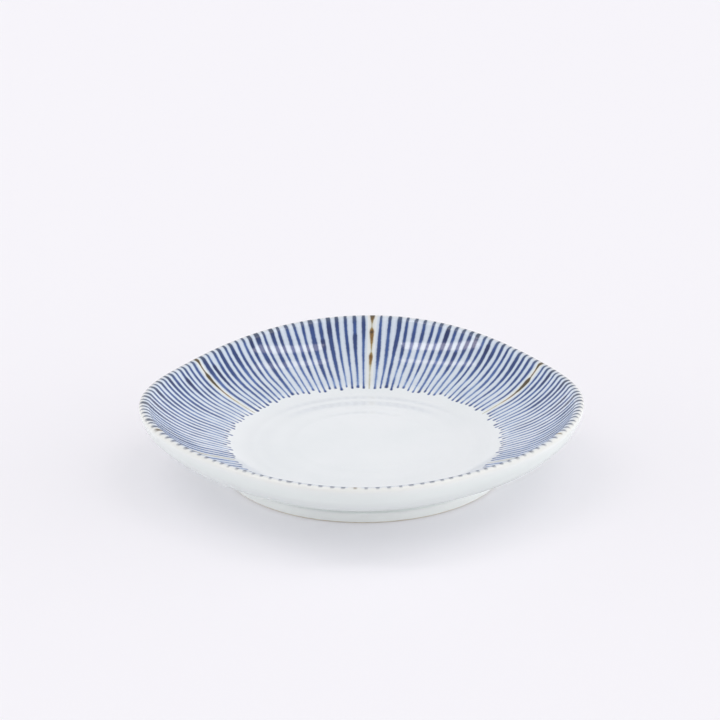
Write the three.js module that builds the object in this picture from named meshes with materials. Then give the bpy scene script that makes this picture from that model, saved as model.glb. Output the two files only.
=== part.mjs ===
import * as THREE from 'three';

// A soft-square porcelain side plate: a shallow round dish whose rim was pressed out to four corners
// by hand, with a foot ring luted under it and a clear glaze over all but the edge it stands on.
// Millimetres, +Z up. The origin is on the table, on the axis of the foot ring, and the corners
// point to about +X, +Y, -X and -Y.

// Corners of the rim: their direction in degrees from +X, and how far each is pulled out past the sides
const CORNERS = [
  { direction: -7, pull: 3.2 },
  { direction: 87.5, pull: 7.9 },
  { direction: 187, pull: 5 },
  { direction: 269.5, pull: 6.5 },
];
const SIDE_DIRECTIONS = [30, 148, 231, 305.5];
const CORNER_LIFT = 1.5;
// How the pull grows from the foot out to the rim: 1 is evenly, more keeps it nearer to the rim
const PULL_GROWTH = 1.4;

// Dish, seen in section at the middle of a side
const WELL_RADIUS = 47.5;
const WALL_RUN = 29.9;
const DISH_DEPTH = 17.6;
const WELL_FILLET = 25;
const WALL_SLOPE = 20;
const WALL_CURVE = 32.8;
const OUTER_SLOPE = 28.5;
const OUTER_CURVE = 15;
const LIP_SHOULDER = 2;
const LIP_ROUND = 1.2;
const BASE_THICKNESS = 3.2;

// Foot ring
const FOOT_OFFSET = 5.9;
const FOOT_HEIGHT = 5.2;
const FOOT_FLARE = 0.8;
const FOOT_SEAT_WIDTH = 6;
const FOOT_EDGE_WIDTH = 2.8;
const FOOT_EDGE_ROUND = 0.5;

// Glaze, and the height of the bare band that is wiped clean of it
const GLAZE = 0.3;
const BARE_BAND = 0.7;

// Facets
const STATIONS = 60;
const SLOPE_STEPS = 3;
const OUTER_STEPS = 6;
const LIP_STEPS = 4;
const SHOULDER_STEPS = 3;
const WALL_STEPS = 8;
const FILLET_STEPS = 3;
const EDGE_STEPS = 2;

const UP = Math.PI / 2;
const DOWN = -Math.PI / 2;
const innerSlope = THREE.MathUtils.degToRad(WALL_SLOPE);
const outerSlope = THREE.MathUtils.degToRad(OUTER_SLOPE);

// A point of a section: x is the distance from the axis, y the height
const at = (x, y) => new THREE.Vector2(x, y);
const along = (from, direction, distance) => from.clone().addScaledVector(direction, distance);

function arc(centre, radius, from, to, steps) {
  const curve = new THREE.EllipseCurve(centre.x, centre.y, radius, radius, from, to, to < from);
  return curve.getPoints(steps);
}

// Heights and reaches that the sizes above add up to
const wellHeight = FOOT_HEIGHT + BASE_THICKNESS;
const crestHeight = wellHeight + DISH_DEPTH;
const sideReach = WELL_RADIUS + WALL_RUN;
const footRadius = WELL_RADIUS + FOOT_OFFSET;

// Where the foot ring, the dish and the bare band meet
const seatOuter = at(footRadius + FOOT_FLARE, FOOT_HEIGHT);
const seatInner = at(seatOuter.x - FOOT_SEAT_WIDTH, FOOT_HEIGHT);
const edgeOuter = at(footRadius, FOOT_EDGE_ROUND);
const edgeInner = at(footRadius - FOOT_EDGE_WIDTH - 2 * FOOT_EDGE_ROUND, FOOT_EDGE_ROUND);
const bareShare = (BARE_BAND - FOOT_EDGE_ROUND) / (FOOT_HEIGHT - FOOT_EDGE_ROUND);
const bareOuter = edgeOuter.clone().lerp(seatOuter, bareShare);
const bareInner = edgeInner.clone().lerp(seatInner, bareShare);
const axisUnder = at(0, FOOT_HEIGHT);
const axisWell = at(0, wellHeight);

// A wall in section: a straight slope from a corner, then an arc that turns up from it and touches the
// round of the lip. Gives the way up the slope, its length, the arc's centre and where it meets the round
function wallUp(corner, slope, curve, round, centreGap) {
  const outward = at(Math.cos(slope), Math.sin(slope));
  const normal = at(-outward.y, outward.x);
  const reach = round.clone().sub(corner);
  const side = Math.sqrt(centreGap ** 2 - (reach.dot(normal) - curve) ** 2);
  const length = reach.dot(outward) - side;
  const centre = along(along(corner, outward, length), normal, curve);
  const toRound = round.clone().sub(centre);
  return { outward, length, centre, touch: Math.atan2(toRound.y, toRound.x) };
}

// The outside slopes up from the foot's seat and turns steeply up to the lip
function outerWall() {
  const lip = at(sideReach, crestHeight - LIP_ROUND);
  const wall = wallUp(seatOuter, outerSlope, OUTER_CURVE, lip, OUTER_CURVE - LIP_ROUND);
  const slopePoints = Array.from({ length: SLOPE_STEPS }, (_, i) =>
    along(seatOuter, wall.outward, (wall.length * i) / SLOPE_STEPS),
  );
  return [
    ...slopePoints,
    ...arc(wall.centre, OUTER_CURVE, DOWN + outerSlope, wall.touch, OUTER_STEPS),
    ...arc(lip, LIP_ROUND, wall.touch, UP, LIP_STEPS).slice(1),
  ];
}

// The face runs from the crest over the lip's shoulder, down the curved wall and the straight slope,
// and through a wide fillet into the flat well
function innerFace() {
  const corner = at(WELL_RADIUS, wellHeight);
  const shoulder = at(sideReach, crestHeight - LIP_SHOULDER);
  const wall = wallUp(corner, innerSlope, WALL_CURVE, shoulder, WALL_CURVE + LIP_SHOULDER);
  const bend = Math.tan(innerSlope / 2);
  const fillet = Math.min(WELL_FILLET, wall.length / 2 / bend);
  const filletCentre = at(WELL_RADIUS - fillet * bend, wellHeight + fillet);
  return [
    ...arc(shoulder, LIP_SHOULDER, UP, wall.touch + Math.PI, SHOULDER_STEPS),
    ...arc(wall.centre, WALL_CURVE, wall.touch, DOWN + innerSlope, WALL_STEPS).slice(1),
    ...arc(filletCentre, fillet, DOWN + innerSlope, DOWN, FILLET_STEPS),
    axisWell,
  ];
}

// Each section below runs with the clay on its left: outward under the plate, up the outside, inward
// over the top
const shell = [...outerWall(), ...innerFace().slice(1)];

const innerRound = at(edgeInner.x + FOOT_EDGE_ROUND, FOOT_EDGE_ROUND);
const outerRound = at(edgeOuter.x - FOOT_EDGE_ROUND, FOOT_EDGE_ROUND);
const footEdge = [
  ...arc(innerRound, FOOT_EDGE_ROUND, -Math.PI, DOWN, EDGE_STEPS),
  ...arc(outerRound, FOOT_EDGE_ROUND, DOWN, 0, EDGE_STEPS),
];

// The line that a section is moved out to by the thickness of the glaze, mitred at its corners
function glazeLine(clay) {
  const normals = clay.slice(1).map((point, i) => {
    const run = point.clone().sub(clay[i]).normalize();
    return at(run.y, -run.x);
  });
  return clay.map((point, i) => {
    const before = normals[Math.max(i - 1, 0)];
    const after = normals[Math.min(i, normals.length - 1)];
    const mitre = before.clone().add(after);
    return along(point, mitre, GLAZE / (1 + before.dot(after)));
  });
}

const glazeOver = (clay) => [...glazeLine(clay), ...clay.toReversed()];

// The rim swings evenly between the corners and the middles of the sides, once round the plate
const rimStops = [
  ...CORNERS.map(({ direction, pull }) => ({ direction, pull, lift: CORNER_LIFT })),
  ...SIDE_DIRECTIONS.map((direction) => ({ direction, pull: 0, lift: 0 })),
].sort((a, b) => a.direction - b.direction);

function rimAt(angle) {
  const start = rimStops[0].direction;
  const turn = start + THREE.MathUtils.euclideanModulo(angle - start, 360);
  const last = rimStops.findLastIndex((stop) => stop.direction <= turn);
  const from = rimStops[last];
  const to = rimStops[(last + 1) % rimStops.length];
  const width = THREE.MathUtils.euclideanModulo(to.direction - from.direction, 360);
  const share = (1 - Math.cos((Math.PI * (turn - from.direction)) / width)) / 2;
  return {
    pull: THREE.MathUtils.lerp(from.pull, to.pull, share),
    lift: THREE.MathUtils.lerp(from.lift, to.lift, share),
  };
}

// A point of the round dish, pressed out to the soft square: nothing moves over the foot, and the
// wall moves more and more towards the rim
function pressed(point, angle) {
  const wayOut = THREE.MathUtils.clamp((point.x - seatOuter.x) / (sideReach - seatOuter.x), 0, 1);
  const share = wayOut ** PULL_GROWTH;
  const { pull, lift } = rimAt(angle);
  const radius = point.x + share * pull;
  const turn = THREE.MathUtils.degToRad(angle);
  return [radius * Math.cos(turn), radius * Math.sin(turn), point.y + share * lift];
}

// A closed section carried round the axis and pressed. Each four-sided facet is split from its inner
// corner to its outer corner at the next station, so two pieces that share a surface share its facets
function loft(section) {
  const positions = [];
  const indices = [];
  const columns = section.map((point) => {
    const turns = point.x === 0 ? 1 : STATIONS;
    const first = positions.length / 3;
    for (let station = 0; station < turns; station += 1) {
      positions.push(...pressed(point, (360 * station) / STATIONS));
    }
    return (station) => first + (station % turns);
  });
  section.forEach((point, i) => {
    const next = section[(i + 1) % section.length];
    const here = columns[i];
    const there = columns[(i + 1) % section.length];
    const outward = point.x - next.x || point.y - next.y;
    for (let station = 0; station < STATIONS; station += 1) {
      const [a, b] = [here(station), here(station + 1)];
      const [c, d] = [there(station + 1), there(station)];
      const halves = outward < 0 ? [[a, b, c], [a, c, d]] : [[a, b, d], [b, c, d]];
      halves.filter((half) => new Set(half).size === 3).forEach((half) => indices.push(...half));
    }
  });
  const geometry = new THREE.BufferGeometry();
  geometry.setAttribute('position', new THREE.Float32BufferAttribute(positions, 3));
  geometry.setIndex(indices);
  geometry.computeVertexNormals();
  return geometry;
}

const porcelain = { color: 0xe8e2d6, roughness: 0.7, metalness: 0 };
const bareClay = { color: 0xcdbda4, roughness: 0.8, metalness: 0 };
const clearGlaze = { color: 0xe3eaec, roughness: 0.12, metalness: 0 };
const pooledGlaze = { color: 0xd9e4e2, roughness: 0.15, metalness: 0 };

const pieces = {
  porcelain_dish: { section: [axisUnder, seatInner, ...shell], finish: porcelain },
  foot_ring: { section: [...footEdge, bareOuter, seatOuter, seatInner, bareInner], finish: bareClay },
  glaze_coat: { section: glazeOver([bareOuter, ...shell]), finish: clearGlaze },
  foot_well_glaze: { section: glazeOver([axisUnder, seatInner, bareInner]), finish: pooledGlaze },
};

const plate = new THREE.Group();
for (const [name, { section, finish }] of Object.entries(pieces)) {
  const piece = new THREE.Mesh(loft(section), new THREE.MeshStandardMaterial(finish));
  piece.name = name;
  plate.add(piece);
}

export default plate;
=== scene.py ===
# %% [markdown]
# # A soft-square porcelain plate with painted lines
#
# The plate is a shallow dish, pressed out by hand to four soft corners, on a round foot ring. Blue
# lines of cobalt run down its wall, with six brown lines of iron between them, and a clear glaze lies
# over everything but the edge that it stands on. The CAD solids give its place and size. This lesson
# makes the fine surfaces, the painting and the light. All sections are written in millimetres.

import math

import bpy
from mathutils import Matrix, Vector


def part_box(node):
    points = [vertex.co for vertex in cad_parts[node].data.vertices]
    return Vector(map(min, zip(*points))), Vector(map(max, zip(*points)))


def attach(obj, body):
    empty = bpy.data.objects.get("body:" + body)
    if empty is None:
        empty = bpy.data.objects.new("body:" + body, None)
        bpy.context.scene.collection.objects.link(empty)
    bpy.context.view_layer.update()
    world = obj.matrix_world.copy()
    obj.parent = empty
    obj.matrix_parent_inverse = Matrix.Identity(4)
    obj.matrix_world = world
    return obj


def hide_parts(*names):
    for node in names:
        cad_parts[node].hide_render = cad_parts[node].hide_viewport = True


MM = 0.001
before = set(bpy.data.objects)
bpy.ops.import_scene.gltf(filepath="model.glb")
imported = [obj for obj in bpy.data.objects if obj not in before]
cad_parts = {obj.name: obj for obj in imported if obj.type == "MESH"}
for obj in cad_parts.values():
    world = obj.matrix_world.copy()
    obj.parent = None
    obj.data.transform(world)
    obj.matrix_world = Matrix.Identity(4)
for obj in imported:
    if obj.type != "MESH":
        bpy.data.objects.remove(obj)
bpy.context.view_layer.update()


print("CAD nodes:", sorted(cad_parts))

# %% [markdown]
# ## The camera
#
# A camera could be turned by eye until the render looks like the photograph. Here it was fitted to the
# rim and the foot ring instead: a long lens, 22 degrees above the table. The plate lies a little
# below the middle of the picture, so the camera looks a little over it, which keeps its shift at zero.

# %% Camera
CAMERA_ELEVATION = math.radians(22.3)
CAMERA_DISTANCE = 800 * MM
CAMERA_LENS = 106.96  # mm
SENSOR_WIDTH = 36  # mm
CAMERA_TARGET = Vector((0, 0, 27 * MM))
LOOK_OVER = math.radians(0.964)
LOOK_LEFT = math.radians(0.104)
CAMERA_ROLL = math.radians(-0.35)

bpy.ops.object.camera_add()
camera = bpy.context.object
camera.name = "camera"
camera.data.lens = CAMERA_LENS
camera.data.sensor_width = SENSOR_WIDTH
to_camera = Vector((0, -math.cos(CAMERA_ELEVATION), math.sin(CAMERA_ELEVATION)))
place = Matrix.Translation(CAMERA_TARGET + CAMERA_DISTANCE * to_camera)
pan = Matrix.Rotation(LOOK_LEFT, 4, "Z")
tilt = Matrix.Rotation(math.pi / 2 - CAMERA_ELEVATION + LOOK_OVER, 4, "X")
roll = Matrix.Rotation(CAMERA_ROLL, 4, "Z")
camera.matrix_world = place @ pan @ tilt @ roll
bpy.context.scene.camera = camera
print("Camera at", [round(v, 3) for v in camera.location], "m")

# %% [markdown]
# ## The section of the plate
#
# A potter's plate is its section, turned. The section here is the line of the glazed surface: the
# distance from the axis and the height, at the middle of a side, where the rim isn't pulled out. It
# could be drawn as a curve by hand. It is built from arcs that touch each other, with the sizes that
# the CAD section has, so that reflections run over it without a break.

# %% Sizes of the section
# The dish: its face, its outside and its lip
WELL_RADIUS = 47.5
WALL_RUN = 29.9
DISH_DEPTH = 17.6
WELL_FILLET = 25
WALL_SLOPE = math.radians(20)
WALL_CURVE = 32.8
OUTER_SLOPE = math.radians(28.5)
OUTER_CURVE = 15
LIP_SHOULDER = 2
LIP_ROUND = 1.2
BASE_THICKNESS = 3.2
# The foot ring and the band of it that is wiped clean
FOOT_FLARE = 0.8
FOOT_EDGE_WIDTH = 2.8
FOOT_EDGE_ROUND = 0.5
BARE_BAND = 0.7
# The glaze on both
GLAZE = 0.3
POOL = 3  # radius of the glaze that pools in the corner over a side of the foot

_, ring_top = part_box("foot_ring")
FOOT_HEIGHT = ring_top.z / MM
FOOT_SEAT = ring_top.x / MM
FOOT_RADIUS = FOOT_SEAT - FOOT_FLARE
WELL_HEIGHT = FOOT_HEIGHT + BASE_THICKNESS
CREST_HEIGHT = WELL_HEIGHT + DISH_DEPTH
SIDE_REACH = WELL_RADIUS + WALL_RUN
print(f"Foot of {FOOT_RADIUS:.1f} mm radius, {FOOT_HEIGHT:.1f} mm high, rim at {CREST_HEIGHT:.1f} mm")

# %% Helpers that draw a section
UP, DOWN = math.pi / 2, -math.pi / 2


def along(start, direction, distance):
    """The point of a section that lies at a distance from another one."""
    return (start[0] + direction[0] * distance, start[1] + direction[1] * distance)


def dot(a, b):
    return a[0] * b[0] + a[1] * b[1]


def heading(start, end):
    """Unit direction from one point of a section to another, and the distance."""
    span = math.dist(start, end)
    return ((end[0] - start[0]) / span, (end[1] - start[1]) / span), span


def straight(start, end, steps):
    """Points on a straight part of a section, its end left out."""
    direction, span = heading(start, end)
    return [along(start, direction, span * i / steps) for i in range(steps)]


def arc(centre, radius, first, last, steps):
    """Points on an arc of a section, both ends included."""
    angles = [first + (last - first) * i / steps for i in range(steps + 1)]
    return [along(centre, (math.cos(a), math.sin(a)), radius) for a in angles]


def wall_up(corner, slope, curve, lip, centre_gap):
    """Where a slope from a corner turns up to the round of the lip: the arc's centre and last angle."""
    outward = (math.cos(slope), math.sin(slope))
    normal = (-outward[1], outward[0])
    to_lip, span = heading(corner, lip)
    run, rise = span * dot(to_lip, outward), span * dot(to_lip, normal)
    length = run - math.sqrt(centre_gap**2 - (rise - curve) ** 2)
    centre = along(along(corner, outward, length), normal, curve)
    return centre, math.atan2(lip[1] - centre[1], lip[0] - centre[0])


quarter = arc((0, 0), 1, 0, UP, 2)
print("A quarter circle in 2 steps:", [[round(v, 2) for v in point] for point in quarter])

# %% The outside, from the foot up to the crest of the lip
FOOT_STEPS, POOL_STEPS, SLOPE_STEPS, OUTER_STEPS, LIP_STEPS = 2, 8, 8, 24, 10


def pooled(bottom, side, outward, roof, below):
    """The arc of pooled glaze that touches a side of the foot and the surface over it."""
    start = along(bottom, outward, POOL)
    to_roof, span = heading(start, roof)
    climb = (span * dot(to_roof, below) + POOL) / dot(side, below)
    first = math.atan2(-outward[1], -outward[0])
    last = math.atan2(-below[1], -below[0])
    return arc(along(start, side, climb), POOL, first, last, POOL_STEPS)


def outside():
    """The line from the bare edge of the foot over the pool and up the wall to the crest."""
    seat, edge = (FOOT_SEAT, FOOT_HEIGHT), (FOOT_RADIUS, FOOT_EDGE_ROUND)
    lip = (SIDE_REACH, CREST_HEIGHT - LIP_ROUND)
    centre, touch = wall_up(seat, OUTER_SLOPE, OUTER_CURVE, lip, OUTER_CURVE - LIP_ROUND)
    wall = arc(centre, OUTER_CURVE + GLAZE, DOWN + OUTER_SLOPE, touch, OUTER_STEPS)
    side, _ = heading(edge, seat)
    outward = (side[1], -side[0])
    bottom = along(edge, outward, GLAZE)
    bare = along(bottom, side, BARE_BAND - FOOT_EDGE_ROUND)
    below = (math.sin(OUTER_SLOPE), -math.cos(OUTER_SLOPE))
    pool = pooled(bottom, side, outward, wall[0], below)
    return (
        straight(bare, pool[0], FOOT_STEPS)
        + pool
        + straight(pool[-1], wall[0], SLOPE_STEPS)[1:]
        + wall
        + arc(lip, LIP_ROUND + GLAZE, touch, UP, LIP_STEPS)[1:]
    )


outer_line = outside()
print(f"Outside of {len(outer_line)} points, up to {outer_line[-1][1]:.1f} mm")

# %% The face, from the crest down to the flat of the well
SHOULDER_STEPS, WALL_STEPS, FILLET_STEPS = 10, 28, 8


def face():
    """The line from the crest over the shoulder of the lip, down the wall and through the fillet."""
    corner = (WELL_RADIUS, WELL_HEIGHT)
    shoulder = (SIDE_REACH, CREST_HEIGHT - LIP_SHOULDER)
    centre, touch = wall_up(corner, WALL_SLOPE, WALL_CURVE, shoulder, WALL_CURVE + LIP_SHOULDER)
    fillet = (WELL_RADIUS - WELL_FILLET * math.tan(WALL_SLOPE / 2), WELL_HEIGHT + WELL_FILLET)
    return (
        arc(shoulder, LIP_SHOULDER + GLAZE, UP, touch + math.pi, SHOULDER_STEPS)
        + arc(centre, WALL_CURVE - GLAZE, touch, DOWN + WALL_SLOPE, WALL_STEPS)[1:]
        + arc(fillet, WELL_FILLET - GLAZE, DOWN + WALL_SLOPE, DOWN, FILLET_STEPS)
    )


face_line = face()
well_edge, well_top = face_line[-1]
print(f"Face of {len(face_line)} points, flat from {well_edge:.1f} mm inwards, at {well_top:.1f} mm")

# %% [markdown]
# ## The rings in the well
#
# The well isn't quite flat: the tool that trimmed it on the wheel left shallow rings, less than a
# tenth of a millimetre high. They are too low to be seen by themselves, but they bend the reflection
# of the wall into faint arcs. A bump in the material could do that too. They are part of the section
# instead, which takes only a few more points and leaves them in the mesh.

# %% The well and its rings
# Distance from the axis, and height over or under the flat, of each crest and hollow in mm
TURNED_RINGS = [(24, 0), (25.6, 0.07), (29.6, -0.06), (34.2, 0.08)]
TURNED_RINGS += [(39.6, -0.06), (41.8, 0.03), (46.4, -0.07), (50, 0)]
RING_STEP = 0.8  # mm between two points
PLAIN_SHARES = [0.8, 0.6, 0.4, 0.2, 0.02]  # of the radius, where a plain flat has its points


def eased(share):
    """Half a wave from 0 to 1, level at both ends."""
    return (1 - math.cos(math.pi * share)) / 2


def ring_height(radius):
    """How far the well stands up or down at a distance from the axis, all in mm."""
    for (near, low), (far, high) in zip(TURNED_RINGS, TURNED_RINGS[1:]):
        if near <= radius <= far:
            return low + (high - low) * eased((radius - near) / (far - near))
    return 0


ring_points = math.floor((well_edge - TURNED_RINGS[0][0]) / RING_STEP)
flat_line = [(well_edge - RING_STEP * i, well_top) for i in range(1, ring_points + 1)]
ringed_line = [(radius, height + ring_height(radius)) for radius, height in face_line + flat_line]
middle_line = [(ringed_line[-1][0] * share, well_top) for share in PLAIN_SHARES]
coat_line = outer_line + ringed_line[1:] + middle_line
print(f"Section of {len(coat_line)} points, of which {ring_points} follow the rings")

# %% [markdown]
# ## Turning the section
#
# A section can be turned with Spin, or with a Screw modifier. Here a circle is added and extruded ring
# by ring, as a wall of clay is drawn up on the wheel: each ring is moved to the next height and
# scaled to the next radius. The rings stay in order, so the painting can later be laid out on them.

# %% Turn a section into a surface
STATIONS = 288


def turned(name, line):
    """A surface from a section: a circle at its first point, extruded to each point after it."""
    bpy.ops.object.select_all(action="DESELECT")
    radius, height = (size * MM for size in line[0])
    bpy.ops.mesh.primitive_circle_add(vertices=STATIONS, radius=radius, location=(0, 0, height))
    piece = bpy.context.object
    piece.name = piece.data.name = name
    bpy.ops.object.transform_apply(location=True, rotation=True, scale=True)
    bpy.ops.object.mode_set(mode="EDIT")
    bpy.ops.mesh.select_all(action="SELECT")
    for (near, low), (far, high) in zip(line, line[1:]):
        rise = (0, 0, (high - low) * MM)
        bpy.ops.mesh.extrude_edges_move(TRANSFORM_OT_translate={"value": rise})
        bpy.ops.transform.resize(value=(far / near, far / near, 1), center_override=(0, 0, high * MM))
    bpy.ops.object.mode_set(mode="OBJECT")
    return piece


glaze = turned("painted_glaze", coat_line)
print("Glaze:", len(glaze.data.vertices), "vertices in", len(coat_line), "rings")

# %% [markdown]
# ## Laying out the painting
#
# The painter divides the rim in six by eye, paints an iron line at each mark and fills each part with
# blue lines. A pattern that only used the angle couldn't follow that uneven division, so the piece
# gets a UV map of its own: U counts the lines round the plate and V is the distance from the crest in
# millimetres, down the face as positive and down the outside as negative.

# %% UV map of the painting
IRON_DIRECTIONS = [26.2, 87.5, 148.6, 203.1, 267.8, 332.3]  # degrees
PART_LINES = 24  # an iron line and the blue lines up to the next one
LINES = PART_LINES * len(IRON_DIRECTIONS)

lengths = [math.dist(a, b) for a, b in zip(coat_line, coat_line[1:])]
to_crest = sum(lengths[: len(outer_line) - 1])
depths = [sum(lengths[:i]) - to_crest for i in range(len(coat_line))]


def line_at(angle):
    """How many painted lines lie before a direction in degrees."""
    marks = IRON_DIRECTIONS + [IRON_DIRECTIONS[0] + 360]
    angle = marks[0] + (angle - marks[0]) % 360
    part = max(i for i, mark in enumerate(marks[:-1]) if mark <= angle)
    return PART_LINES * (part + (angle - marks[part]) / (marks[part + 1] - marks[part]))


def lay_out(piece):
    """Gives a turned piece its UV map."""
    mesh = piece.data
    layer = mesh.uv_layers.new(name="brushwork")
    counts = [line_at(math.degrees(math.atan2(v.co.y, v.co.x))) for v in mesh.vertices]
    for polygon in mesh.polygons:
        corners = [counts[i] for i in polygon.vertices]
        over_the_start = max(corners) - min(corners) > LINES / 2
        for loop, vertex in zip(polygon.loop_indices, polygon.vertices):
            lines_before = counts[vertex]
            if over_the_start and lines_before < LINES / 2:
                lines_before += LINES
            layer.uv[loop].vector = (lines_before, depths[vertex // STATIONS])


lay_out(glaze)
print(f"{LINES} lines, the face is {depths[-1]:.1f} mm long and the outside {-depths[0]:.1f} mm")

# %% [markdown]
# ## Pressing the round dish to a soft square
#
# The real plate was pressed over a mould while the clay was soft: four corners went out and up a
# little, each by its own amount, and the sides stayed. Proportional editing could pull the corners out
# one by one. A formula is used because the rim has to follow the CAD rim all the way round: it swings
# evenly between the corners and the middles of the sides, and the pull grows from the foot to the rim.

# %% Press the corners out
CORNERS = {-7: 3.2, 87.5: 7.9, 187: 5, 269.5: 6.5}  # direction in degrees: pull in mm
SIDES = [30, 148, 231, 305.5]  # degrees
CORNER_LIFT = 1.5
PULL_GROWTH = 1.4  # 1 is evenly from the foot to the rim, more keeps the pull nearer to the rim
corner_stops = [(angle, pull, CORNER_LIFT) for angle, pull in CORNERS.items()]
rim_stops = sorted(corner_stops + [(angle, 0, 0) for angle in SIDES])


def rim_at(angle):
    """Pull and lift of the rim in mm, in a direction in degrees."""
    first = rim_stops[0][0]
    angle = first + (angle - first) % 360
    here = max(i for i, stop in enumerate(rim_stops) if stop[0] <= angle)
    before, after = rim_stops[here], rim_stops[(here + 1) % len(rim_stops)]
    share = eased((angle - before[0]) / ((after[0] - before[0]) % 360))
    return [a + (b - a) * share for a, b in zip(before[1:], after[1:])]


def press(piece):
    """Moves each point of a turned piece out and up to the soft square."""
    for vertex in piece.data.vertices:
        radius = math.hypot(vertex.co.x, vertex.co.y)
        way_out = (radius / MM - FOOT_SEAT) / (SIDE_REACH - FOOT_SEAT)
        share = min(max(way_out, 0), 1) ** PULL_GROWTH
        pull, lift = rim_at(math.degrees(math.atan2(vertex.co.y, vertex.co.x)))
        grown = 1 + share * pull * MM / radius
        vertex.co.x *= grown
        vertex.co.y *= grown
        vertex.co.z += share * lift * MM


press(glaze)
reaches = [vertex.co.xy.length / MM for vertex in glaze.data.vertices]
print(f"The rim now reaches {max(reaches):.1f} mm from the axis at its longest corner")

# %% [markdown]
# ## A coat with a thickness
#
# The glaze is glass, about a third of a millimetre thick, on the clay. The middle of the well is still
# open, so its last small ring is merged to one point. The surface then gets its thickness inwards
# with Solidify, which also closes the lower edge where the glaze was wiped off.

# %% Close the well and thicken the coat
COAT_DEPTH = 0.2  # mm: the CAD facets of the clay lie just below it
SMOOTH_BELOW = math.radians(40)


def open_for_editing(piece, first_selected):
    """Edit mode with the vertices from a number on selected."""
    bpy.ops.object.select_all(action="DESELECT")
    bpy.context.view_layer.objects.active = piece
    piece.select_set(True)
    for part in (*piece.data.polygons, *piece.data.edges):
        part.select = False
    for vertex in piece.data.vertices:
        vertex.select = vertex.index >= first_selected
    bpy.ops.object.mode_set(mode="EDIT")
    bpy.ops.mesh.select_mode(type="VERT")


def coated(piece, looks_up):
    """Closes the middle, turns the faces out, thickens the surface inwards and smooths it."""
    open_for_editing(piece, len(piece.data.vertices) - STATIONS)
    bpy.ops.mesh.merge(type="CENTER")
    bpy.ops.mesh.select_all(action="SELECT")
    bpy.ops.mesh.normals_make_consistent(inside=False)
    bpy.ops.object.mode_set(mode="OBJECT")
    middle = min(piece.data.polygons, key=lambda polygon: polygon.center.xy.length)
    if (middle.normal.z > 0) != looks_up:
        open_for_editing(piece, 0)
        bpy.ops.mesh.flip_normals()
        bpy.ops.object.mode_set(mode="OBJECT")
    coat = piece.modifiers.new("coat", "SOLIDIFY")
    coat.thickness = COAT_DEPTH * MM
    coat.offset = -1
    bpy.ops.object.modifier_apply(modifier=coat.name)
    bpy.ops.object.shade_smooth_by_angle(angle=SMOOTH_BELOW)


coated(glaze, looks_up=True)
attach(glaze, "root")
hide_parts("glaze_coat")
print("Glaze coat:", len(glaze.data.polygons), "faces")

# %% [markdown]
# ## The foot ring and the glaze inside it
#
# The foot is a ring of the same clay, trimmed with a slight flare and wiped clean of glaze along the
# edge that it stands on, so that it doesn't stick to the kiln shelf. It is turned from a closed
# section: its last ring falls on its first, and merging the doubles closes it. The glaze under the
# dish stops at the same bare edge, so it is a surface of its own. It pools in the corner as it does
# outside, and is closed and thickened in the same way.

# %% Foot ring
FOOT_SEAT_WIDTH = 6
EDGE_STEPS = 6
DOUBLES = 0.001 * MM
edge_inner = (FOOT_RADIUS - FOOT_EDGE_WIDTH - 2 * FOOT_EDGE_ROUND, FOOT_EDGE_ROUND)
inner_round = (edge_inner[0] + FOOT_EDGE_ROUND, FOOT_EDGE_ROUND)
outer_round = (FOOT_RADIUS - FOOT_EDGE_ROUND, FOOT_EDGE_ROUND)
seat_inner = (FOOT_SEAT - FOOT_SEAT_WIDTH, FOOT_HEIGHT)
ring_line = [seat_inner]
ring_line += arc(inner_round, FOOT_EDGE_ROUND, -math.pi, DOWN, EDGE_STEPS)
ring_line += arc(outer_round, FOOT_EDGE_ROUND, DOWN, 0, EDGE_STEPS)
ring_line += [(FOOT_SEAT, FOOT_HEIGHT), seat_inner]

foot = turned("bare_foot", ring_line)
open_for_editing(foot, 0)
bpy.ops.mesh.remove_doubles(threshold=DOUBLES)
bpy.ops.mesh.normals_make_consistent(inside=False)
bpy.ops.object.mode_set(mode="OBJECT")
bpy.ops.object.shade_smooth_by_angle(angle=SMOOTH_BELOW)
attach(foot, "root")
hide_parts("foot_ring")
print("Foot ring:", len(foot.data.polygons), "faces")

# %% Glaze inside the foot ring
inner_side, _ = heading(edge_inner, seat_inner)
into_well = (-inner_side[1], inner_side[0])
inner_bottom = along(edge_inner, into_well, GLAZE)
bare_inner = along(inner_bottom, inner_side, BARE_BAND - FOOT_EDGE_ROUND)
roof = FOOT_HEIGHT - GLAZE
inner_pool = pooled(inner_bottom, inner_side, into_well, (0, roof), (0, -1))
roof_line = [(inner_pool[-1][0] * share, roof) for share in PLAIN_SHARES]
under = turned("under_glaze", [bare_inner] + inner_pool + roof_line)
coated(under, looks_up=False)
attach(under, "root")
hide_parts("foot_well_glaze")
print("Glaze under the dish:", len(under.data.polygons), "faces")

# %% [markdown]
# ## Tools for the finishes
#
# Colours are written as they look on a screen, in sRGB hex, and one function turns them to the linear
# values that a shader needs. Another one adds a node, makes its settings and fills its inputs: a
# socket is linked and anything else is a value. It returns the node's output that is in use.

# %% Colour and node helpers
def linear(code):
    """An sRGB hex colour in linear values, with an alpha of 1."""
    channels = [int(code[i : i + 2], 16) / 255 for i in (1, 3, 5)]
    return [c / 12.92 if c <= 0.04045 else ((c + 0.055) / 1.055) ** 2.4 for c in channels] + [1]


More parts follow.
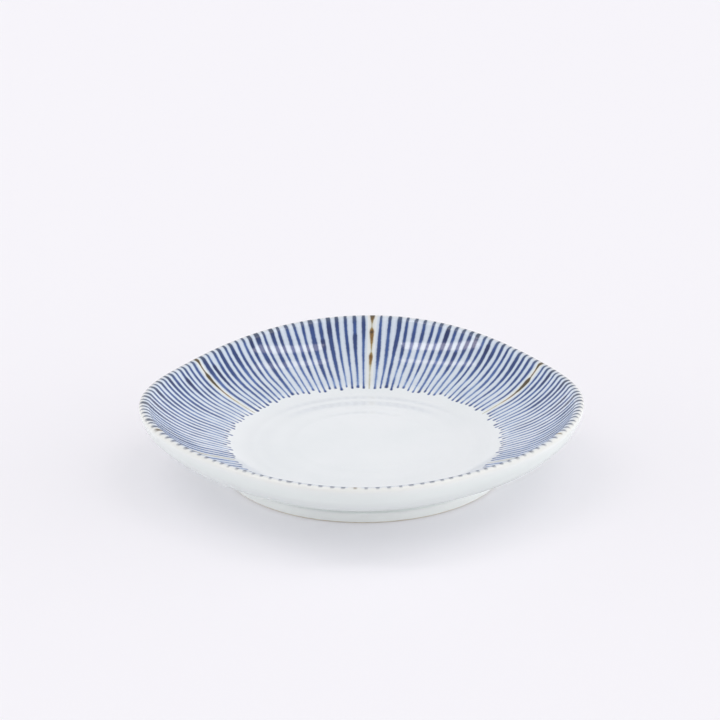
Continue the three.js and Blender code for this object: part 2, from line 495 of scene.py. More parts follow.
def add(tree, kind, inputs=None, stops=(), **settings):
    """Adds a shader node and returns its first output in use."""
    node = tree.nodes.new("ShaderNode" + kind)
    for name, value in settings.items():
        setattr(node, name, value)
    for socket, value in (inputs or {}).items():
        if isinstance(value, bpy.types.NodeSocket):
            tree.links.new(value, node.inputs[socket])
        else:
            node.inputs[socket].default_value = value
    for i, (position, colour) in enumerate(stops):
        elements = node.color_ramp.elements
        stop = elements[i] if i < 2 else elements.new(position)
        stop.position, stop.color = position, colour
    return next(output for output in node.outputs if output.enabled)


def finish(name):
    """A new material, its node tree and its shader."""
    material = bpy.data.materials.new(name)
    material.use_nodes = True
    tree = material.node_tree
    return material, tree, tree.nodes["Principled BSDF"]


# Inputs go by name or by number. A Map Range node takes a value as input 0, the range that it comes
# from as 1 and 2, and what it gives at the ends of that range as 3 and 4, which start out as 0 and 1
MIX_FACTOR, MIX_A, MIX_B = 0, 6, 7  # inputs of a Mix node that mixes colours
NOISE_MIDDLE = 0.5  # taken off a noise, it makes it swing evenly to both sides of zero
print("Middle grey is", [round(c, 3) for c in linear("#808080")[:3]], "in linear values")

# %% [markdown]
# ## Glazed porcelain
#
# Porcelain glaze is clear glass with a trace of iron, which gives white clay a faint blue-green cast,
# deeper where the glaze pools. It is very smooth, so its gloss is sharp, and slightly uneven, so a
# reflection wavers. The colour wanders over a few centimetres, and a shallow bump does the wavering.

# %% The ground that both glazes share
GLAZE_IOR = 1.5
GLAZE_ROUGHNESS = 0.07
CLOUD_SIZE = 24 * MM
CLOUD_RANGE = 0.3, 0.7  # values of the noise at which the colour is at its deepest and palest
WAVER_SIZE = 9 * MM
WAVER_HEIGHT = 0.012 * MM


def glaze_ground(tree, shader, deep, pale):
    """Sets the gloss of a glaze and returns the colour of the glazed clay."""
    shader.inputs["IOR"].default_value = GLAZE_IOR
    shader.inputs["Roughness"].default_value = GLAZE_ROUGHNESS
    spot = add(tree, "TexCoord").node.outputs["Object"]
    cloud = add(tree, "TexNoise", {"Vector": spot, "Scale": 1 / CLOUD_SIZE, "Detail": 2})
    shades = list(zip(CLOUD_RANGE, (linear(deep), linear(pale))))
    colour = add(tree, "ValToRGB", {"Fac": cloud}, stops=shades)
    waver = add(tree, "TexNoise", {"Vector": spot, "Scale": 1 / WAVER_SIZE, "Detail": 1})
    bump = add(tree, "Bump", {"Height": waver, "Distance": WAVER_HEIGHT, "Strength": 1})
    tree.links.new(bump, shader.inputs["Normal"])
    return colour


# To the eye: cool white, with a sharp gloss that wavers a little
plain_glaze, under_tree, under_shader = finish("clear_glaze_on_porcelain")
under_colour = glaze_ground(under_tree, under_shader, deep="#dbe2e0", pale="#e0e6e4")
under_tree.links.new(under_colour, under_shader.inputs["Base Color"])
under.data.materials.append(plain_glaze)
print("Glaze under the dish has", len(under_tree.nodes), "nodes")

# %% [markdown]
# ## Bare porcelain
#
# Where there is no glaze, the clay is matt and was toasted to a warm buff in the kiln. The same finish,
# paler, is on the dish under its glaze, which is only seen if the coat is taken off.

# %% Bare clay
CLAY_ROUGHNESS = 0.75
TOAST_SIZE = 5 * MM
TOAST_RANGE = 0.35, 0.65  # values of the noise at which the clay is at its palest and most toasted
GRAIN_SIZE = 0.35 * MM  # the real grain is finer: this is as fine as it can be and still show
GRAIN_HEIGHT = 0.02 * MM


def bare_clay(name, pale, toasted):
    """To the eye: dry and warm, with no gloss, a fine grain and patches of buff."""
    material, tree, shader = finish(name)
    shader.inputs["Roughness"].default_value = CLAY_ROUGHNESS
    spot = add(tree, "TexCoord").node.outputs["Object"]
    toast = add(tree, "TexNoise", {"Vector": spot, "Scale": 1 / TOAST_SIZE, "Detail": 3})
    shades = list(zip(TOAST_RANGE, (linear(pale), linear(toasted))))
    colour = add(tree, "ValToRGB", {"Fac": toast}, stops=shades)
    grain = add(tree, "TexNoise", {"Vector": spot, "Scale": 1 / GRAIN_SIZE, "Detail": 2})
    bump = add(tree, "Bump", {"Height": grain, "Distance": GRAIN_HEIGHT, "Strength": 1})
    tree.links.new(colour, shader.inputs["Base Color"])
    tree.links.new(bump, shader.inputs["Normal"])
    return material


foot.data.materials.append(bare_clay("bare_toasted_porcelain", pale="#e0dacd", toasted="#d3c9b8"))
dish_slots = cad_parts["porcelain_dish"].data.materials
dish_slots.clear()
dish_slots.append(bare_clay("fired_porcelain", pale="#ebe7df", toasted="#e2dccf"))
print("Bare clay on", foot.name, "and porcelain_dish")

# %% [markdown]
# ## How the glaze lies on the dish, with painted shade and light
#
# Glaze runs while it is molten. On the crest of the lip it is thin, and the clay shows through it a
# little warm; the crest is also darkened, which is painted shade. Outside it is greyer and darker than
# on the face: partly thicker glaze, partly painted shade on a wall that faces down. Where it pooled
# over the foot it is greener, and darker in that crease as painted shade. On the foot it is nearly
# white, which is painted light. The V of the UV map says how far down a spot lies, so a colour ramp
# along it holds these colours, and its alpha says how much of them lies over the glaze of the face.

# %% The glaze from the face down to the foot, with painted shade and light
LOWEST, HIGHEST = -40, 10  # mm, the depths at the two ends of the ramp
# Depth in mm, the colour there, and how much of it lies over the glaze of the face
GLAZE_AND_SHADE_ZONES = [
    # the foot: nearly white, painted light
    (-36, "#f6f9f7", 0.9),
    # the pool in the crease: greener glaze, darkened as painted shade
    (-34.5, "#dee8e3", 0.9),
    # the outside: greyer glaze, darkened as painted shade
    (-32, "#e1e7e4", 0.9),
    (-20, "#e2e8e6", 0.9),
    (-9, "#dce2e0", 0.9),
    (-4.8, "#dee4e2", 0.9),
    (-2.4, "#e2e6e5", 0.9),
    # the crest: warm thin glaze, darkened as painted shade
    (-1.4, "#e1e2df", 0.9),
    (0.6, "#e1e2df", 0.8),
    (1.6, "#e1e2df", 0),
]

# To the eye: soft-edged blue and brown lines that lie in the depth of one cool white gloss
painting, tree, shader = finish("cobalt_and_iron_under_glaze")
face_glaze = glaze_ground(tree, shader, deep="#e7ecee", pale="#ebeff1")
spot = add(tree, "TexCoord").node.outputs["Object"]
count = add(tree, "SeparateXYZ", {0: add(tree, "UVMap", uv_map="brushwork")})
depth = count.node.outputs["Y"]
zones = [
    ((at - LOWEST) / (HIGHEST - LOWEST), linear(code)[:3] + [share]) for at, code, share in GLAZE_AND_SHADE_ZONES
]
level = add(tree, "MapRange", {0: depth, 1: LOWEST, 2: HIGHEST})
glaze_and_shade = add(tree, "ValToRGB", {"Fac": level}, stops=zones)
# the glaze of the face with the zones laid over it, painted shade and light included
ground = {MIX_FACTOR: glaze_and_shade.node.outputs["Alpha"], MIX_A: face_glaze, MIX_B: glaze_and_shade}
ground = add(tree, "Mix", ground, data_type="RGBA")
print("Glaze in", len(GLAZE_AND_SHADE_ZONES), "zones, from", GLAZE_AND_SHADE_ZONES[0][0], "to", GLAZE_AND_SHADE_ZONES[-1][0], "mm")

# %% [markdown]
# ## The painted lines
#
# Each line is one pull of a brush from the rim down to the well. It could be a thin mesh on the wall,
# but underglaze colour has soft edges and no thickness, so it is drawn by the material. The UV map
# says which line a spot belongs to and how far down it lies. Every line then gets its own luck from a
# white noise of its number: where it starts and ends, how heavy it is and where the brush was dipped
# again. Distances are worked out in millimetres, so the widths below are real ones.

# %% Where a spot lies on the painting
DRIFT = 0.32  # of the room between two lines
DRIFT_LENGTH = 16  # mm
flat = add(tree, "VectorMath", {0: spot, 1: (1, 1, 0)}, operation="MULTIPLY")
from_axis = add(tree, "VectorMath", {0: flat}, operation="LENGTH")
room = add(tree, "Math", {0: from_axis, 1: math.tau / LINES / MM}, operation="MULTIPLY")
way = add(tree, "VectorMath", {0: flat}, operation="NORMALIZE")
circle = add(tree, "VectorMath", {0: way, "Scale": LINES / math.tau}, operation="SCALE")
down = add(tree, "CombineXYZ", {2: depth})
drift_at = {0: down, 1: (0, 0, 1 / DRIFT_LENGTH), 2: circle}
drift_at = add(tree, "VectorMath", drift_at, operation="MULTIPLY_ADD")
drift = add(tree, "TexNoise", {"Vector": drift_at, "Scale": 1, "Detail": 0})
drift = add(tree, "Math", {0: drift, 1: NOISE_MIDDLE}, operation="SUBTRACT")
drifted = add(tree, "Math", {0: drift, 1: DRIFT, 2: count}, operation="MULTIPLY_ADD")
nearest = add(tree, "Math", {0: drifted}, operation="ROUND")
off_line = add(tree, "Math", {0: drifted, 1: nearest}, operation="SUBTRACT")
off_line = add(tree, "Math", {0: off_line}, operation="ABSOLUTE")
across = add(tree, "Math", {0: off_line, 1: room}, operation="MULTIPLY")
line = add(tree, "Math", {0: nearest, 1: LINES}, operation="FLOORED_MODULO")
print("Lines lie", round(math.tau * SIDE_REACH / LINES, 1), "mm apart at the rim")

# %% The luck of each line
LUCK_SEED = 2092
STARTS = -0.6, 0  # mm below the crest
ENDS = 30.2, 32.4  # mm below the crest
START_BLUNT = 1.6  # how much blunter a line starts than it ends
OVER_FRONT, OVER_BACK = 0.3, 1.15  # mm that the lines reach further over the rim in front and behind
FRONT, MIDDLE = -45 * MM, -8 * MM  # between these places the first reach turns into the second
WELL_OFF_CENTRE = (-0.45, 0.78, 0)  # mm that the circle of the lines' ends lies off the axis
luck_at = add(tree, "Math", {0: line, 1: LUCK_SEED * LINES}, operation="ADD")
luck = add(tree, "TexWhiteNoise", {"W": luck_at}, noise_dimensions="1D")
more_luck = add(tree, "SeparateColor", {0: luck.node.outputs["Color"]})
start_luck, end_luck, dip_luck = more_luck.node.outputs
start = add(tree, "MapRange", {0: start_luck, 3: STARTS[0], 4: STARTS[1]})
end = add(tree, "MapRange", {0: end_luck, 3: ENDS[0], 4: ENDS[1]})
to_back = add(tree, "SeparateXYZ", {0: spot}).node.outputs["Y"]
over = add(tree, "MapRange", {0: to_back, 1: FRONT, 2: MIDDLE, 3: OVER_FRONT, 4: OVER_BACK})
from_rim = add(tree, "Math", {0: depth, 1: over}, operation="ADD")
above = add(tree, "Math", {0: start, 1: from_rim}, operation="SUBTRACT")
above = add(tree, "Math", {0: above, 1: START_BLUNT}, operation="MULTIPLY")
off_centre = add(tree, "VectorMath", {0: way, 1: WELL_OFF_CENTRE}, operation="DOT_PRODUCT")
to_well = add(tree, "Math", {0: depth, 1: off_centre}, operation="SUBTRACT")
below_end = add(tree, "Math", {0: to_well, 1: end}, operation="SUBTRACT")
past = add(tree, "Math", {0: above, 1: below_end}, operation="MAXIMUM")
past = add(tree, "Math", {0: past, 1: 0}, operation="MAXIMUM")
print("Lines end", ENDS[0], "to", ENDS[1], "mm below the crest")

# %% [markdown]
# ## A stroke of cobalt
#
# Cobalt is painted as a thin wash on the raw clay. Where the brush is full or pressed down, more of it
# stays, and the line is wider and nearly navy. Where the brush runs dry, the line is thin and pale, and
# where it is lifted at the end, a small drop stays. One noise for the whole wall would let neighbours
# look alike, so each line has its own. What the brush gives is worked out first, as amounts from 0 to
# 1, and then used twice: for the width of the line and for the depth of its blue.

# %% Ink on the brush
PRESSURE_LENGTH = 9  # mm
NOISE_APART = 77  # keeps the noise along one line away from the next line's
FEW_HEAVY = 5  # a power of the luck, which leaves only a few lines heavy
DIPPED_ABOVE = 0.72  # the luck from which a brush was dipped again
DIP_FIRST, DIP_LAST = -18, 10  # mm below the crest: the first is too far above it to leave a trace
DIP_EDGE = 0.7  # mm before and after the dip in which the ink comes in
LOAD_FULL, LOAD_GONE = 1, 15  # mm after the dip
TIP_FROM, TIP_FULL = -1.6, -0.3  # mm below the end, where the lifted brush leaves a drop
stroke_way = add(tree, "Math", {0: line, 1: NOISE_APART}, operation="MULTIPLY")
stroke_at = add(tree, "CombineXYZ", {0: stroke_way, 1: depth})
pressure = {"Vector": stroke_at, "Scale": 1 / PRESSURE_LENGTH, "Detail": 1}
pressure = add(tree, "TexNoise", pressure, noise_dimensions="2D")
heavy = add(tree, "Math", {0: luck, 1: FEW_HEAVY}, operation="POWER")
dip = add(tree, "MapRange", {0: dip_luck, 1: DIPPED_ABOVE, 2: 1, 3: DIP_FIRST, 4: DIP_LAST})
since_dip = add(tree, "Math", {0: depth, 1: dip}, operation="SUBTRACT")
dipped = {0: since_dip, 1: -DIP_EDGE, 2: DIP_EDGE}
dipped = add(tree, "MapRange", dipped, interpolation_type="SMOOTHSTEP")
load = {0: since_dip, 1: LOAD_FULL, 2: LOAD_GONE, 3: 1, 4: 0}
load = add(tree, "MapRange", load, interpolation_type="SMOOTHSTEP")
load = add(tree, "Math", {0: load, 1: dipped}, operation="MULTIPLY")
tip = {0: below_end, 1: TIP_FROM, 2: TIP_FULL}
tip = add(tree, "MapRange", tip, interpolation_type="SMOOTHSTEP")
print(f"The brush was dipped again on {1 - DIPPED_ABOVE:.0%} of the lines")

# %% Width of a blue line
TAPER_FROM, TAPER_TO = 5, 30  # mm below the crest
HALF_WIDE, HALF_NARROW = 0.8, 0.42  # mm, half the width at these two depths
HEAVY_WIDTH = 0.9, 1.28  # times the width, for a light and a heavy line
SOFT_PRESS, FIRM_PRESS = 0.25, 0.75  # values of the noise
PRESS_WIDTH = 0.84, 1.16  # times the width, for a soft and a firm press
LOAD_WIDTH = 0.97, 1.25  # times the width, for a dry and a freshly dipped brush
TIP_WIDER = 0.1  # mm
HEAD_FROM, HEAD_FULL = 1.5, -0.5  # mm below the crest
HEAD_NARROWER = 0.14  # mm
taper = {0: depth, 1: TAPER_FROM, 2: TAPER_TO, 3: HALF_WIDE, 4: HALF_NARROW}
taper = add(tree, "MapRange", taper, interpolation_type="SMOOTHSTEP")
weight = add(tree, "MapRange", {0: heavy, 3: HEAVY_WIDTH[0], 4: HEAVY_WIDTH[1]})
blue_half = add(tree, "Math", {0: taper, 1: weight}, operation="MULTIPLY")
press_share = {0: pressure, 1: SOFT_PRESS, 2: FIRM_PRESS, 3: PRESS_WIDTH[0], 4: PRESS_WIDTH[1]}
press_share = add(tree, "MapRange", press_share)
blue_half = add(tree, "Math", {0: blue_half, 1: press_share}, operation="MULTIPLY")
load_share = add(tree, "MapRange", {0: load, 3: LOAD_WIDTH[0], 4: LOAD_WIDTH[1]})
blue_half = add(tree, "Math", {0: blue_half, 1: load_share}, operation="MULTIPLY")
blue_half = add(tree, "Math", {0: tip, 1: TIP_WIDER, 2: blue_half}, operation="MULTIPLY_ADD")
head = {0: depth, 1: HEAD_FROM, 2: HEAD_FULL}
head = add(tree, "MapRange", head, interpolation_type="SMOOTHSTEP")
blue_half = add(tree, "Math", {0: head, 1: -HEAD_NARROWER, 2: blue_half}, operation="MULTIPLY_ADD")
print("Blue lines are", 2 * HALF_WIDE, "mm wide near the rim and", 2 * HALF_NARROW, "mm near the well")

# %% Colour of a blue line
WEAR_FROM, WEAR_TO = 6, 30  # mm below the crest
WEAR_INK = 0.36, 0.06  # ink that the brush gives at these two depths
LOAD_INK, PRESS_INK, HEAVY_INK, TIP_INK = 0.28, 0.6, 0.12, 0.2  # what each adds to it
COBALT = {0.2: "#7f9ccb", 0.42: "#4a69a5", 0.62: "#2c4985", 0.95: "#16295c"}  # ink: colour
ink = add(tree, "MapRange", {0: depth, 1: WEAR_FROM, 2: WEAR_TO, 3: WEAR_INK[0], 4: WEAR_INK[1]})
for cause, share in ((load, LOAD_INK), (pressure, PRESS_INK), (heavy, HEAVY_INK), (tip, TIP_INK)):
    ink = add(tree, "Math", {0: cause, 1: share, 2: ink}, operation="MULTIPLY_ADD")
cobalt = [(amount, linear(code)) for amount, code in COBALT.items()]
blue = add(tree, "ValToRGB", {"Fac": ink}, stops=cobalt)
print("Cobalt in", len(COBALT), "strengths")

# %% [markdown]
# ## The iron lines
#
# Iron runs more than cobalt: a line flares at the rim, swells once or twice where a drop gathered and
# thins to a pale olive tail. Where each of the six swells was read from the photograph. What is known
# of each line sits in a colour ramp with hard steps, which works as a small table in the material.

# %% A table of the iron lines
# For each line: the depths of its two drops in mm, how much it flares and how dark it is between them
IRON_LINES = [
    (9.2, 38, 0.9, 1),
    (6.4, 16.0, 1, 0.1),
    (8.6, 38, 1.2, 1),
    (9, 38, 0.9, 0.6),
    (8, 38, 0.3, 0.2),
    (12, 38, 0.3, 0.2),
]
FULL_DEPTH = 40  # mm, stands for 1 in the ramp
ROW_EARLY = 0.01  # of the way round: a row starts a little before its line
table = []
for part, (first, second, flare, body) in enumerate(IRON_LINES):
    row_start = max(part / len(IRON_LINES) - ROW_EARLY, 0)
    table.append((row_start, [first / FULL_DEPTH, second / FULL_DEPTH, flare, body]))
share_round = add(tree, "Math", {0: line, 1: LINES}, operation="DIVIDE")
row = add(tree, "ValToRGB", {"Fac": share_round}, stops=table)
row.node.color_ramp.interpolation = "CONSTANT"
row_body = row.node.outputs["Alpha"]
*row_drops, row_flare = add(tree, "SeparateColor", {0: row}).node.outputs
print("Iron lines at", IRON_DIRECTIONS, "degrees")

# %% The body of an iron line
TAIL_FROM, TAIL_TO, TAIL_INK = 15, 27, 0.15  # mm below the crest, and the share of ink left at the end
IRON_HALF = 0.23  # mm, half the width of a line with no ink to spare
INK_WIDER = 0.15  # mm, for a full line
FLARE_DEPTH = 4.2  # mm
FLARE_WIDER, FLARE_INK = 0.72, 0.9  # mm to each side, and the ink that it adds
tail = {0: depth, 1: TAIL_FROM, 2: TAIL_TO, 3: 1, 4: TAIL_INK}
tail = add(tree, "MapRange", tail, interpolation_type="SMOOTHSTEP")
iron_ink = add(tree, "Math", {0: row_body, 1: tail}, operation="MULTIPLY")
iron_half = add(tree, "Math", {0: iron_ink, 1: INK_WIDER, 2: IRON_HALF}, operation="MULTIPLY_ADD")
flared = add(tree, "MapRange", {0: depth, 1: FLARE_DEPTH, 2: 0}, interpolation_type="SMOOTHSTEP")
flared = add(tree, "Math", {0: flared, 1: row_flare}, operation="MULTIPLY")
swells = [(flared, FLARE_WIDER, FLARE_INK)]
full_half = IRON_HALF + INK_WIDER
print(f"Between its drops an iron line is {2 * IRON_HALF:.2f} to {2 * full_half:.2f} mm wide")

# %% The drops on an iron line
DROPS = (0.74, 0.8), (0.68, 0.7)  # mm to each side, and the ink that it adds, for each of the two
DROP_HEAD = -2.2, 0.2  # mm below the drop's middle, where it swells
DROP_TRAIL = 7.6  # mm below the drop's middle, where its trail ends
for row_drop, (wider, darker) in zip(row_drops, DROPS):
    drop_depth = add(tree, "Math", {0: row_drop, 1: FULL_DEPTH}, operation="MULTIPLY")
    off_drop = add(tree, "Math", {0: depth, 1: drop_depth}, operation="SUBTRACT")
    drop_head = {0: off_drop, 1: DROP_HEAD[0], 2: DROP_HEAD[1]}
    drop_head = add(tree, "MapRange", drop_head, interpolation_type="SMOOTHSTEP")
    trail = add(tree, "MapRange", {0: off_drop, 1: DROP_TRAIL, 2: 0})
    swell = add(tree, "Math", {0: drop_head, 1: trail}, operation="MULTIPLY")
    swells.append((swell, wider, darker))
for swell, wider, darker in swells:
    iron_half = add(tree, "Math", {0: swell, 1: wider, 2: iron_half}, operation="MULTIPLY_ADD")
    iron_ink = add(tree, "Math", {0: swell, 1: darker, 2: iron_ink}, operation="MULTIPLY_ADD")
print("An iron line swells in", len(swells), "places")

# %% Colour of an iron line
BLOTCH_SIZE = 1.6 * MM
BLOTCH_INK = 0.8
EDGE_INK = -0.25  # the edge of a line is paler than its middle
RUST = {0: "#bdbba6", 0.25: "#9a8a5c", 0.5: "#866734", 0.75: "#6b4a18", 1: "#473b20"}  # ink: colour
blotch = add(tree, "TexNoise", {"Vector": spot, "Scale": 1 / BLOTCH_SIZE, "Detail": 1})
blotch = add(tree, "Math", {0: blotch, 1: NOISE_MIDDLE}, operation="SUBTRACT")
iron_ink = add(tree, "Math", {0: blotch, 1: BLOTCH_INK, 2: iron_ink}, operation="MULTIPLY_ADD")
edge_share = add(tree, "Math", {0: across, 1: iron_half}, operation="DIVIDE")
iron_ink = add(tree, "Math", {0: edge_share, 1: EDGE_INK, 2: iron_ink}, operation="MULTIPLY_ADD")
rust = [(amount, linear(code)) for amount, code in RUST.items()]
iron = add(tree, "ValToRGB", {"Fac": iron_ink}, stops=rust)
print("Iron in", len(RUST), "strengths")

# %% [markdown]
# ## Putting the lines on the clay
#
# A line is drawn from the distance to its middle: inside its half width there is ink, and outside there
# is none, with a soft step between. Past its start and end the distance runs to the end point, which
# rounds the ends. A little noise roughens the edge. On the hot, thinly glazed rim the colours burn to
# a grey and a brown. Cobalt also bleeds into the glaze, so the white between two blue lines is bluish,
# and the white beside an iron line is creamy. That bluish white is also darkened, more so towards the
# rim, which is painted shade on the wall.

# %% Which ink a spot gets
BURNT_FROM, BURNT_FULL = 3.6, 0.4  # mm below the crest
BURNT_SHARE = 0.7
BURNT_COBALT, BURNT_IRON = "#47535e", "#54482f"
# The first line of each part, number 0, is the iron one
in_part = add(tree, "Math", {0: line, 1: PART_LINES}, operation="FLOORED_MODULO")
is_iron = add(tree, "Math", {0: in_part, 1: 0.5}, operation="LESS_THAN")
half = add(tree, "Mix", {0: is_iron, 2: blue_half, 3: iron_half})
ink_colour = add(tree, "Mix", {MIX_FACTOR: is_iron, MIX_A: blue, MIX_B: iron}, data_type="RGBA")
burnt = {MIX_FACTOR: is_iron, MIX_A: linear(BURNT_COBALT), MIX_B: linear(BURNT_IRON)}
burnt = add(tree, "Mix", burnt, data_type="RGBA")
at_rim = {0: depth, 1: BURNT_FROM, 2: BURNT_FULL, 3: 0, 4: BURNT_SHARE}
at_rim = add(tree, "MapRange", at_rim, interpolation_type="SMOOTHSTEP")
ink_colour = {MIX_FACTOR: at_rim, MIX_A: ink_colour, MIX_B: burnt}
ink_colour = add(tree, "Mix", ink_colour, data_type="RGBA")
print("The ink is burnt", BURNT_FROM, "mm down from the crest")

# %% The shape of a line
EDGE_SIZE = 1.3 * MM
EDGE_ROUGH = 0.28  # mm
EDGE_SOFT = 0.3  # mm
THIN_FROM, THIN_TO = -1.2, 1.1  # mm below where a line may start: it covers more and more
from_end = add(tree, "CombineXYZ", {0: across, 1: past})
from_line = add(tree, "VectorMath", {0: from_end}, operation="LENGTH")
rough = add(tree, "TexNoise", {"Vector": spot, "Scale": 1 / EDGE_SIZE, "Detail": 1})
rough = add(tree, "Math", {0: rough, 1: NOISE_MIDDLE}, operation="SUBTRACT")
from_line = add(tree, "Math", {0: rough, 1: EDGE_ROUGH, 2: from_line}, operation="MULTIPLY_ADD")
outside_ink = add(tree, "Math", {0: from_line, 1: half}, operation="SUBTRACT")
cover = {0: outside_ink, 1: EDGE_SOFT, 2: -EDGE_SOFT}
cover = add(tree, "MapRange", cover, interpolation_type="SMOOTHSTEP")
thin = {0: from_rim, 1: THIN_FROM, 2: THIN_TO}
thin = add(tree, "MapRange", thin, interpolation_type="SMOOTHSTEP")
cover = add(tree, "Math", {0: cover, 1: thin}, operation="MULTIPLY")
print("The edge of a line is", 2 * EDGE_SOFT, "mm soft")

# %% Colour that bled into the glaze, and painted shade between the lines
BLEED_REACH = 2.2  # mm
BLEED_SHARE = 0.44
BLED_COBALT, BLED_IRON = "#9ab2d3", "#c9cac2"
# Near the rim the white between the lines is darkened further: painted shade on the upper wall
PAINTED_SHADE_FROM, PAINTED_SHADE_FULL, PAINTED_SHADE_SHARE = 20, 6, 1.36  # mm below the crest, and how much more bled near it
LIP_FROM, LIP_FULL = -0.8, 1  # mm below the crest: none bled over it
WELL_FROM, WELL_FULL = 32, 27.5  # mm below the crest: none bled into the well
# the bluish white between the lines: cobalt bleed and painted shade
bleed_and_shade = add(tree, "MapRange", {0: outside_ink, 1: BLEED_REACH, 2: 0, 3: 0, 4: BLEED_SHARE})
painted_shade_near_rim = add(tree, "MapRange", {0: depth, 1: PAINTED_SHADE_FROM, 2: PAINTED_SHADE_FULL, 3: 1, 4: PAINTED_SHADE_SHARE})
bleed_and_shade = add(tree, "Math", {0: bleed_and_shade, 1: painted_shade_near_rim}, operation="MULTIPLY")
for reached, first, full in ((depth, LIP_FROM, LIP_FULL), (to_well, WELL_FROM, WELL_FULL)):
    kept = {0: reached, 1: first, 2: full}
    kept = add(tree, "MapRange", kept, interpolation_type="SMOOTHSTEP")
    bleed_and_shade = add(tree, "Math", {0: bleed_and_shade, 1: kept}, operation="MULTIPLY")
bleed_colour = {MIX_FACTOR: is_iron, MIX_A: linear(BLED_COBALT), MIX_B: linear(BLED_IRON)}
bleed_colour = add(tree, "Mix", bleed_colour, data_type="RGBA")
stained_and_shaded = {MIX_FACTOR: bleed_and_shade, MIX_A: ground, MIX_B: bleed_colour}
stained_and_shaded = add(tree, "Mix", stained_and_shaded, data_type="RGBA")
painted = {MIX_FACTOR: cover, MIX_A: stained_and_shaded, MIX_B: ink_colour}
painted = add(tree, "Mix", painted, data_type="RGBA")
tree.links.new(painted, shader.inputs["Base Color"])
glaze.data.materials.append(painting)
print("The painting has", len(tree.nodes), "nodes")

# %% [markdown]
# ## The table
#
# The plate stands on a plain pale table that runs on behind it without an edge. A curved backdrop could
# do that. A plane that is far wider than the view does it too, and takes the shadow. In a white tent a
# shadow is pale, so what the camera sees of the table has a share of plain white paper in it. The light
# that the table throws up on the plate stays as it is.

# %% Floor
FLOOR_SIZE = 30
FLOOR_COLOUR = "#f3f2f7"
FLOOR_ROUGHNESS, FLOOR_SPECULAR = 0.6, 0.2
PAPER_SHARE = 0.3


def seen_rays(tree):
    """1 for what the camera sees, straight, in a reflection or through glass, and 0 for other light."""
    path = add(tree, "LightPath").node.outputs
    seen = add(tree, "Math", {0: path["Is Camera Ray"], 1: path["Is Glossy Ray"]}, operation="ADD")
    return add(tree, "Math", {0: seen, 1: path["Is Transmission Ray"]}, operation="ADD", use_clamp=True)


bpy.ops.object.select_all(action="DESELECT")
bpy.ops.mesh.primitive_plane_add(size=FLOOR_SIZE)
floor = bpy.context.object
floor.name = "floor"
# To the eye: an even, nearly white sheet without gloss
pale_table, floor_tree, floor_shader = finish("pale_table")
floor_shader.inputs["Base Color"].default_value = linear(FLOOR_COLOUR)
floor_shader.inputs["Roughness"].default_value = FLOOR_ROUGHNESS
floor_shader.inputs["Specular IOR Level"].default_value = FLOOR_SPECULAR
paper = add(floor_tree, "Emission", {"Color": linear(FLOOR_COLOUR), "Strength": 1})
paper_seen = add(floor_tree, "Math", {0: seen_rays(floor_tree), 1: PAPER_SHARE}, operation="MULTIPLY")
table_top = add(floor_tree, "MixShader", {0: paper_seen, 1: floor_shader.outputs[0], 2: paper})
floor_tree.links.new(table_top, floor_tree.nodes["Material Output"].inputs["Surface"])
floor.data.materials.append(pale_table)
print("Floor of", FLOOR_SIZE, "m in", FLOOR_COLOUR)

# %% [markdown]
# ## The light
#
# The light is soft and comes from all sides, as in a white tent. It could come from many large lamps.
# A sky that is brightest near the horizon gives most of it with less work, and keeps the shadow pale.
# It is a little brighter on the two sides than in front and behind. Four long lamps high above give
# the double row of soft reflections on the back of the wall: their directions were worked out from
# where those reflections lie, and their distance keeps the table even.

# %% Sky
HORIZON, ZENITH = 1.8, 0.785  # strength of the light
HORIZON_UP_TO, ZENITH_FROM = 0.08, 0.5  # heights on a sky of radius 1
BRIGHTER_SIDES = (0.75, -0.72, 0)  # more light from both sides, and less from the front and the back
LEAN = (0.22, 0.1, 0)  # of the two sides more from the right, of the other two more from the front
UNDERNEATH, BELOW_TABLE = 0.45, -0.1  # share of it that comes from below, and from which height down
world = bpy.data.worlds.new("studio")
bpy.context.scene.world = world
world.use_nodes = True
sky_tree = world.node_tree
sky = sky_tree.nodes["Background"]
sky.inputs["Color"].default_value = linear("#ffffff")
sky_way = add(sky_tree, "TexCoord").node.outputs["Generated"]
sky_height = add(sky_tree, "SeparateXYZ", {0: sky_way}).node.outputs["Z"]
glow = {0: sky_height, 1: HORIZON_UP_TO, 2: ZENITH_FROM, 3: HORIZON, 4: ZENITH}
glow = add(sky_tree, "MapRange", glow, interpolation_type="SMOOTHSTEP")
leaning = add(sky_tree, "VectorMath", {0: sky_way, 1: LEAN}, operation="ADD")
square = add(sky_tree, "VectorMath", {0: sky_way, 1: leaning}, operation="MULTIPLY")
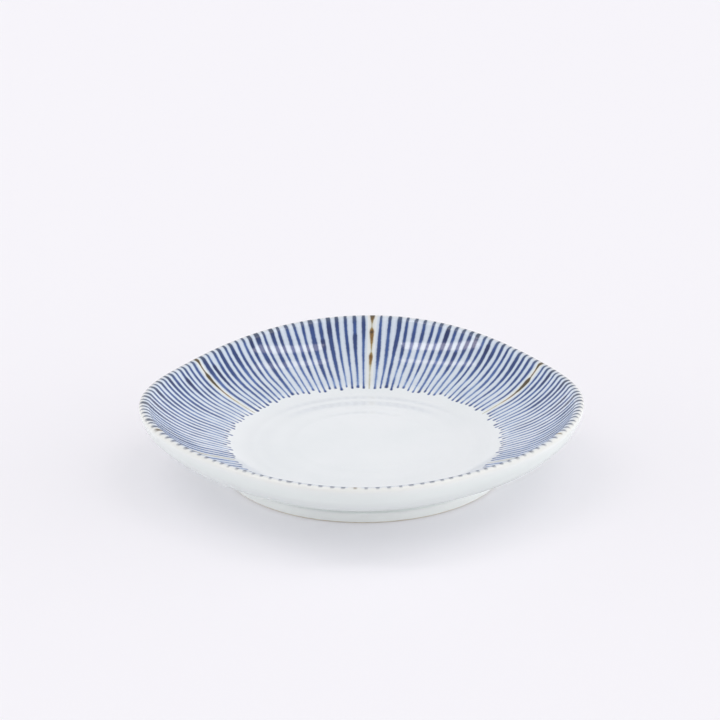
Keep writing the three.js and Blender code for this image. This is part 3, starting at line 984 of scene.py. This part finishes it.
sideways = add(sky_tree, "VectorMath", {0: square, 1: BRIGHTER_SIDES}, operation="DOT_PRODUCT")
glow = add(sky_tree, "Math", {0: sideways, 1: glow, 2: glow}, operation="MULTIPLY_ADD")
above_table = add(sky_tree, "MapRange", {0: sky_height, 1: BELOW_TABLE, 2: 0, 3: UNDERNEATH, 4: 1})
glow = add(sky_tree, "Math", {0: glow, 1: above_table}, operation="MULTIPLY")
sky_tree.links.new(glow, sky.inputs["Strength"])
print("Sky of strength", HORIZON, "at the horizon and", ZENITH, "above")

# %% What the camera sees of the sky
BACKGROUND = "#f7f6fb"
backdrop = add(sky_tree, "Background", {"Color": linear(BACKGROUND), "Strength": 1})
shown = add(sky_tree, "MixShader", {0: seen_rays(sky_tree), 1: sky.outputs[0], 2: backdrop})
sky_tree.links.new(shown, sky_tree.nodes["World Output"].inputs["Surface"])
print("Background of", BACKGROUND)

# %% Lamps
LAMP_HEIGHT = 4
LAMP_COLOUR = "#fff5f8"
# Each lamp: where its near and far end lie to the side, where its edges lie to the back, all as shares
# of the height, and how bright it is beside white paper
LAMPS = {
    "front_right": (0.22, 0.95, 0.05, 0.17, 3.4),
    "front_left": (-0.2, -1.15, 0.05, 0.17, 4.4),
    "back_right": (0.13, 0.62, 0.34, 0.45, 1.8),
    "back_left": (-0.13, -0.65, 0.36, 0.43, 2.6),
}
for name, (near, far, front, rear, bright) in LAMPS.items():
    bpy.ops.object.light_add(type="AREA")
    lamp = bpy.context.object
    lamp.name = "lamp_" + name
    lamp.location = ((near + far) / 2 * LAMP_HEIGHT, (front + rear) / 2 * LAMP_HEIGHT, LAMP_HEIGHT)
    lamp.data.shape = "RECTANGLE"
    lamp.data.color = linear(LAMP_COLOUR)[:3]
    lamp.data.size = abs(far - near) * LAMP_HEIGHT
    lamp.data.size_y = (rear - front) * LAMP_HEIGHT
    lamp.data.energy = bright * math.pi * lamp.data.size * lamp.data.size_y
bpy.context.scene.view_settings.view_transform = "Standard"
print(len(LAMPS), "lamps,", LAMP_HEIGHT, "m above the table")
